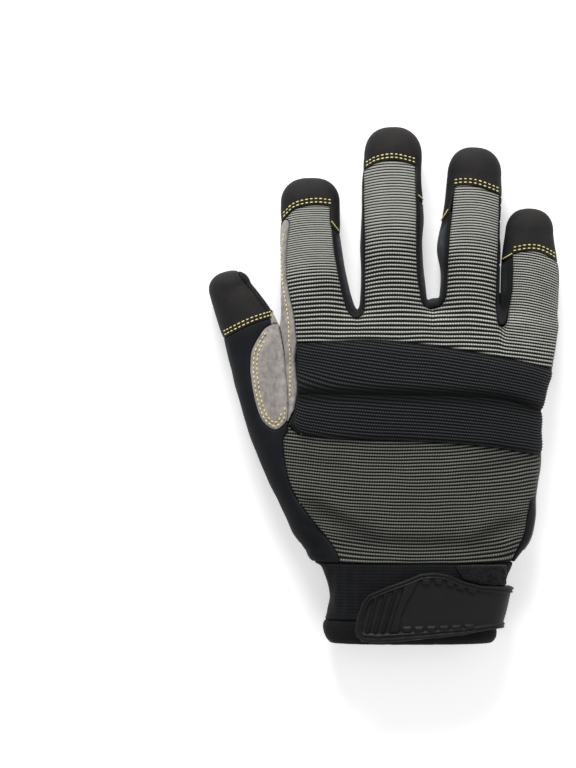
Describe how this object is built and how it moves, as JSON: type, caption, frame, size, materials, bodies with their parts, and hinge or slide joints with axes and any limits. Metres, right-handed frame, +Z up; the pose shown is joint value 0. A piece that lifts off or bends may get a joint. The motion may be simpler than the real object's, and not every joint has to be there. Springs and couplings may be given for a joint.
{
  "type": "mechanic glove",
  "caption": "Right-hand mechanic glove: grey ribbed knit back, padded knuckles, suede palm patches, elastic cuff with a moulded closure tab.",
  "frame": {"origin": "bottom centre of the glove's box, lying palm down", "axes": "+Z up out of the back of the hand, +Y from the cuff towards the fingertips, thumb towards -X"},
  "size_m": [0.1628, 0.2406, 0.0354],
  "materials": {
    "grey_knit": "ribbed stretch knit, light thread over dark grooves",
    "black_knit": "black ribbed stretch knit over padding",
    "black_leather": "black synthetic leather, fine grain, low sheen",
    "slate_stretch": "smooth slate stretch fabric",
    "grey_suede": "grey napped suede with cream double stitching",
    "black_elastic": "black ribbed elastic and hem",
    "black_rubber": "moulded black rubber, slight gloss",
    "red_webbing": "red woven webbing tape",
    "cream_thread": "cream-yellow sewing thread"
  },
  "bodies": {
    "root": {"finger_backs": "grey_knit", "hand_back_panel": "grey_knit", "knuckle_pad": "black_knit", "palm_panel": "black_leather", "thumb_back_panel": "black_leather", "thumb_front": "black_leather", "side_binding": "black_leather", "index_tip": "black_leather", "middle_tip": "black_leather", "ring_tip": "black_leather", "little_tip": "black_leather", "thumb_tip": "black_leather", "index_middle_gusset": "slate_stretch", "middle_ring_gusset": "slate_stretch", "ring_little_gusset": "slate_stretch", "thumb_crotch_patch": "grey_suede", "index_side_patch": "grey_suede", "upper_palm_patch": "grey_suede", "heel_patch": "grey_suede", "thumb_base_patch": "grey_suede", "cuff": "black_elastic", "cuff_hem": "black_elastic", "closure_pad": "black_elastic", "closure_tab": "black_rubber", "pull_loop": "red_webbing"}
  },
  "joints": []
}
